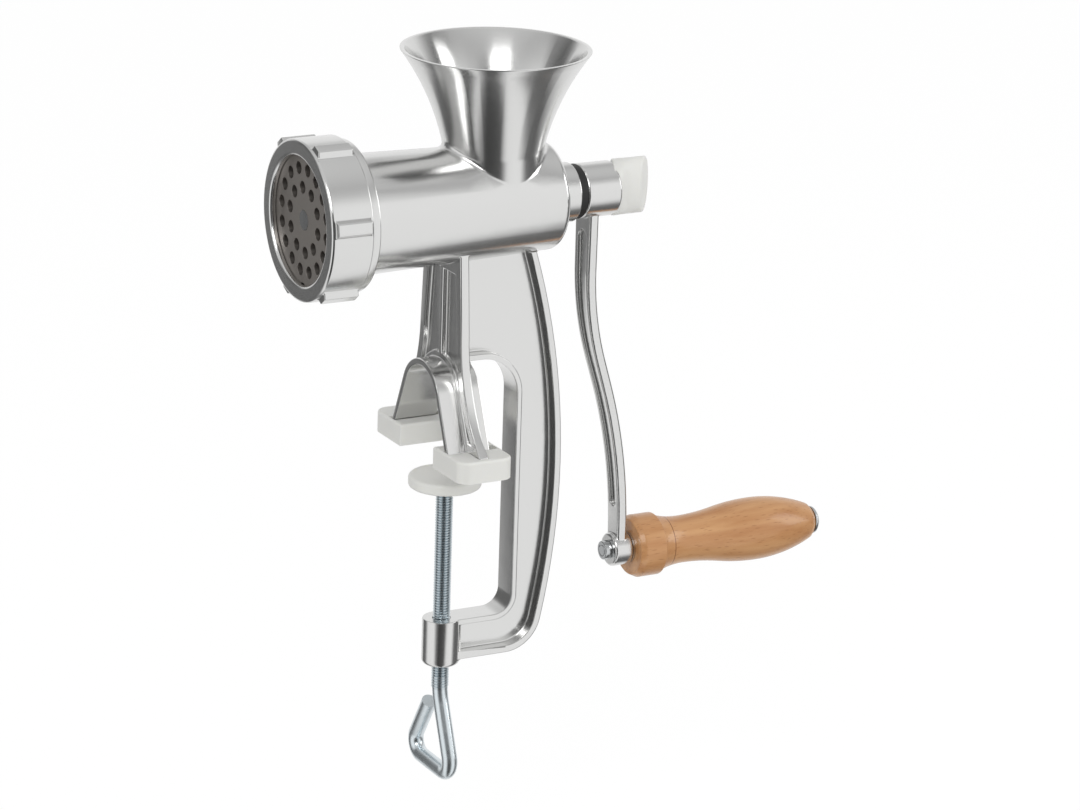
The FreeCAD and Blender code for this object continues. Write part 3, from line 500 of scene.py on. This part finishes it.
# The clamp screw with its thread
def start_point(name, place):
    """A new mesh of one point, in edit mode, for an outline to be drawn on from it."""
    deselect()
    bpy.ops.mesh.primitive_plane_add(size=MM)
    bpy.context.object.name = name
    edit_all()
    bpy.ops.mesh.merge(type="CENTER")
    bpy.ops.transform.translate(value=place)
    return bpy.context.object


def draw_on(*steps):
    """Extrude what is selected along each of the steps."""
    for step in steps:
        bpy.ops.mesh.extrude_region_move(TRANSFORM_OT_translate={"value": step})


def spun_thread(name, turns):
    """A thread along Z: one pitch of its outline, swept by the screw modifier. A quarter of the
    pitch is flat at the root and an eighth at the crest."""
    depth = THREAD_CREST - THREAD_ROOT
    flank = THREAD_PITCH * 5 / 16
    thread = start_point(name, (THREAD_ROOT, 0, THREAD_TOP - turns * THREAD_PITCH))
    draw_on(
        (0, 0, THREAD_PITCH / 4),
        (depth, 0, flank),
        (0, 0, THREAD_PITCH / 8),
        (-depth, 0, flank),
    )
    bpy.ops.object.mode_set(mode="OBJECT")
    screw = thread.modifiers.new("sweep", "SCREW")
    screw.axis = "Z"
    screw.screw_offset = THREAD_PITCH
    screw.iterations = turns
    screw.steps = screw.render_steps = THREAD_STEPS
    screw.use_merge_vertices = True
    screw.merge_threshold = WELD
    apply_modifiers(thread)
    return thread


def bent_points(corners, radii, steps=12):
    """The corners, with an arc in place of each inner one."""
    points = [corners[0]]
    for before, corner, after, radius in zip(corners, corners[1:], corners[2:], radii):
        inward = (before - corner).normalized()
        outward = (after - corner).normalized()
        half = inward.angle(outward) / 2
        reach = radius / math.tan(half)
        centre = corner + (inward + outward).normalized() * (radius / math.sin(half))
        first = (corner + inward * reach - centre).normalized()
        last = (corner + outward * reach - centre).normalized()
        points += [centre + radius * first.slerp(last, i / steps) for i in range(steps + 1)]
    return points + [corners[-1]]


def swept_rod(name, points, radius):
    """A round rod along the points."""
    data = bpy.data.curves.new(name, "CURVE")
    data.dimensions = "3D"
    data.bevel_depth = radius
    data.bevel_resolution = ROD_FINENESS
    data.use_fill_caps = True
    spline = data.splines.new("POLY")
    spline.points.add(len(points) - 1)
    for point, place in zip(spline.points, points):
        point.co = (*place, 1)
    rod = bpy.data.objects.new(name, data)
    bpy.context.scene.collection.objects.link(rod)
    make_active(rod)
    bpy.ops.object.convert(target="MESH")
    return bpy.context.object


def make_clamp_screw():
    """The threaded rod, its bent loop, and the neck and head that the disc turns on."""
    turns = round((THREAD_TOP - THREAD_END) / THREAD_PITCH)
    pieces = [spun_thread("screw_thread", turns)]
    corners = [
        Vector((0, 0, LOOP_START + LOOP_SHANK)),
        Vector((0, 0, LOOP_START)),
        Vector((0, LOOP_NEAR, LOOP_BOTTOM)),
        Vector((0, LOOP_FAR, LOOP_BOTTOM)),
        Vector((0, *LOOP_TAIL)),
    ]
    pieces.append(swept_rod("screw_loop", bent_points(corners, LOOP_BENDS), ROD_RADIUS))
    for radius, low, high in SWIVEL:
        bpy.ops.mesh.primitive_cylinder_add(
            vertices=SWIVEL_SIDES,
            radius=radius,
            depth=high - low,
            location=(0, 0, (low + high) / 2),
        )
        pieces.append(bpy.context.object)
    deselect()
    for piece in pieces:
        piece.select_set(True)
    screw = pieces[0]
    bpy.context.view_layer.objects.active = screw
    bpy.ops.object.join()
    bpy.ops.object.transform_apply(location=True, rotation=True, scale=True)
    screw.name = "threaded_clamp_screw"
    edit_all()
    bpy.ops.mesh.remove_doubles(threshold=WELD)
    bpy.ops.mesh.fill_holes(sides=0)
    bpy.ops.mesh.normals_make_consistent(inside=False)
    bpy.ops.object.mode_set(mode="OBJECT")
    bpy.ops.object.shade_smooth_by_angle(angle=THREAD_CREASE)
    finish_piece(screw, "zinc_steel")
    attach(screw, "screw")
    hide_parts("clamp_screw")


def make_thumb_screw():
    """A moulded wing that grows out of its round collar."""
    start, length, height = WING
    deselect()
    bpy.ops.mesh.primitive_circle_add(
        vertices=WING_SIDES,
        radius=height,
        fill_type="NGON",
        location=(start, 0, BARREL_AXIS),
        rotation=(math.pi / WING_SIDES, math.pi / 2, 0),
    )
    wing = bpy.context.object
    wing.name = "moulded_thumb_screw"
    bpy.ops.object.transform_apply(location=True, rotation=True)
    edit_all()
    place = start
    for share, thickness, tallness in WING_SECTIONS:
        step = start + share * length - place
        place += step
        draw_on((step, 0, 0))
        middle = (place, 0, BARREL_AXIS)
        bpy.ops.transform.resize(value=(1, thickness, tallness), center_override=middle)
    bpy.ops.mesh.select_all(action="SELECT")
    bpy.ops.mesh.normals_make_consistent(inside=False)
    bpy.ops.object.mode_set(mode="OBJECT")
    rounding = wing.modifiers.new("rounding", "SUBSURF")
    rounding.levels = rounding.render_levels = WING_LEVELS
    apply_modifiers(wing)
    bpy.ops.object.shade_smooth()
    finish_piece(wing, "white_plastic")
    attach(wing, "wing")
    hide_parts("thumb_screw")


deselect()
for node, width in EDGE_ROUNDINGS.items():
    dress(node, width)
make_clamp_screw()
make_thumb_screw()


# Stage, light and camera
def straight_rays(tree, path):
    """One for what the camera sees, straight or through something clear, and else nought."""
    either = add_node(
        tree,
        "ShaderNodeMath",
        {"operation": "MAXIMUM"},
        _0=path.outputs["Is Camera Ray"],
        _1=path.outputs["Is Transmission Ray"],
    )
    return either.outputs[0]


def make_floor():
    """White paper below the clamp screw's lowest reach. The camera sees it white with the
    object's faint shadow."""
    joints = frame["record"]["behaviour"]["joints"]
    travels = {joint["name"]: joint.get("range_m") for joint in joints}
    lowest = cad_box[0][2] + travels["disc_travel"][0]
    bpy.ops.mesh.primitive_plane_add(size=PAPER_SIZE, location=(0, 0, lowest - PAPER_GAP))
    floor = bpy.context.object
    floor.name = "floor"
    bpy.ops.object.transform_apply(location=True)
    material, tree = new_material("white_paper")
    path = add_node(tree, "ShaderNodeLightPath")
    place = add_node(tree, "ShaderNodeTexCoord").outputs["Object"]
    away = add_node(tree, "ShaderNodeVectorMath", {"operation": "LENGTH"}, _0=place)
    near = add_node(
        tree,
        "ShaderNodeMapRange",
        Value=away.outputs["Value"],
        From_Max=PAPER_REACH,
        To_Min=1,
        To_Max=0,
    )
    tone = add_node(
        tree,
        "ShaderNodeMix",
        {"data_type": "RGBA"},
        _0=near.outputs["Result"],
        _6=tent_walls(tree, place),
        _7=linear("#ececec"),
    )
    mirrored = add_node(tree, "ShaderNodeEmission", Color=tone.outputs[2])
    white = add_node(tree, "ShaderNodeEmission", Strength=PAPER_WHITE)
    paper = add_node(tree, "ShaderNodeBsdfDiffuse", Color=linear("#e6e6e6"))
    seen = add_node(
        tree, "ShaderNodeMixShader", Fac=PAPER_GLOW, _1=paper.outputs[0], _2=white.outputs[0]
    )
    lit = add_node(
        tree,
        "ShaderNodeMixShader",
        Fac=straight_rays(tree, path),
        _1=paper.outputs[0],
        _2=seen.outputs[0],
    )
    shown = add_node(
        tree,
        "ShaderNodeMixShader",
        Fac=path.outputs["Is Glossy Ray"],
        _1=lit.outputs[0],
        _2=mirrored.outputs[0],
    )
    finish_material(tree, shown)
    floor.data.materials.append(material)


def make_light(name, place, target, size, power):
    """A rectangular softbox that faces its target."""
    data = bpy.data.lights.new(name, "AREA")
    data.shape = "RECTANGLE"
    data.size, data.size_y = size
    data.energy = power
    lamp = bpy.data.objects.new(name, data)
    bpy.context.scene.collection.objects.link(lamp)
    lamp.location = place
    aim = Vector(target) - Vector(place)
    lamp.rotation_euler = aim.to_track_quat("-Z", "Y").to_euler()


def make_camera():
    """The photograph's camera, set so that the seen point falls on its pixel."""
    flat = Vector((math.sin(AZIMUTH), -math.cos(AZIMUTH), 0))
    back = math.cos(ELEVATION) * flat + math.sin(ELEVATION) * Vector((0, 0, 1))
    level = Vector((math.cos(AZIMUTH), math.sin(AZIMUTH), 0))
    upright = back.cross(level)
    right = math.cos(ROLL) * level + math.sin(ROLL) * upright
    up = math.cos(ROLL) * upright - math.sin(ROLL) * level
    aside = (SEEN_PIXEL[0] - PHOTO[0] / 2) * DISTANCE / FOCAL_PIXELS
    above = (PHOTO[1] / 2 - SEEN_PIXEL[1]) * DISTANCE / FOCAL_PIXELS
    data = bpy.data.cameras.new("camera")
    data.sensor_width = SENSOR
    data.lens = data.sensor_width * FOCAL_PIXELS / PHOTO[0]
    data.clip_end = FAR_CLIP
    camera = bpy.data.objects.new("camera", data)
    bpy.context.scene.collection.objects.link(camera)
    place = SEEN_POINT + DISTANCE * back - aside * right - above * up
    turn = Matrix((right, up, back)).transposed().to_4x4()
    camera.matrix_world = Matrix.Translation(place) @ turn
    bpy.context.scene.camera = camera


def make_ramp(tree, value, stops):
    """A grey ramp through pairs of a place and a tone."""
    ramp = add_node(tree, "ShaderNodeValToRGB", Fac=value)
    elements = ramp.color_ramp.elements
    while len(elements) < len(stops):
        elements.new(0.5)
    for element, (place, tone) in zip(elements, stops):
        element.position = place
        element.color = (tone, tone, tone, 1)
    return ramp.outputs["Color"]


def tent_walls(tree, place):
    """The tone of the tent's wall in the direction of a place."""
    facing = add_node(tree, "ShaderNodeMapping", Vector=place, Rotation=(0, 0, math.pi - AZIMUTH))
    axes = add_node(tree, "ShaderNodeSeparateXYZ", Vector=facing.outputs[0])
    bearing = add_node(
        tree, "ShaderNodeMath", {"operation": "ARCTAN2"}, _0=axes.outputs["X"], _1=axes.outputs["Y"]
    )
    turn = add_node(
        tree, "ShaderNodeMapRange", Value=bearing.outputs[0], From_Min=-math.pi, From_Max=math.pi
    )
    return make_ramp(tree, turn.outputs["Result"], TENT_WALLS)


def make_world():
    """A light tent. Diffuse light comes evenly from all round. In the polished metal it shows white
    walls with dark gaps between them, the widest where the photographer stands."""
    world = bpy.data.worlds.new("light_tent")
    bpy.context.scene.world = world
    world.use_nodes = True
    tree = world.node_tree
    tree.nodes.clear()
    view = add_node(tree, "ShaderNodeTexCoord").outputs["Generated"]
    axes = add_node(tree, "ShaderNodeSeparateXYZ", Vector=view)
    roof = make_ramp(tree, axes.outputs["Z"], TENT_ROOF)
    height = make_ramp(tree, axes.outputs["Z"], TENT_HEIGHT)
    tent = add_node(
        tree, "ShaderNodeMix", {"data_type": "RGBA"}, _0=height, _6=tent_walls(tree, view), _7=roof
    )
    path = add_node(tree, "ShaderNodeLightPath")
    seen = add_node(
        tree,
        "ShaderNodeMix",
        {"data_type": "RGBA"},
        _0=path.outputs["Is Glossy Ray"],
        _6=(TENT_FILL, TENT_FILL, TENT_FILL, 1),
        _7=tent.outputs[2],
    )
    backed = add_node(
        tree,
        "ShaderNodeMix",
        {"data_type": "RGBA"},
        _0=straight_rays(tree, path),
        _6=seen.outputs[2],
        _7=(1, 1, 1, 1),
    )
    shell = add_node(tree, "ShaderNodeBackground", Color=backed.outputs[2], Strength=1.0)
    add_node(tree, "ShaderNodeOutputWorld", Surface=shell.outputs[0])


deselect()
make_floor()
make_camera()
make_world()
for name, (place, target, size, power) in SOFTBOXES.items():
    make_light(name, place, target, size, power)
bpy.context.scene.view_settings.view_transform = "Standard"
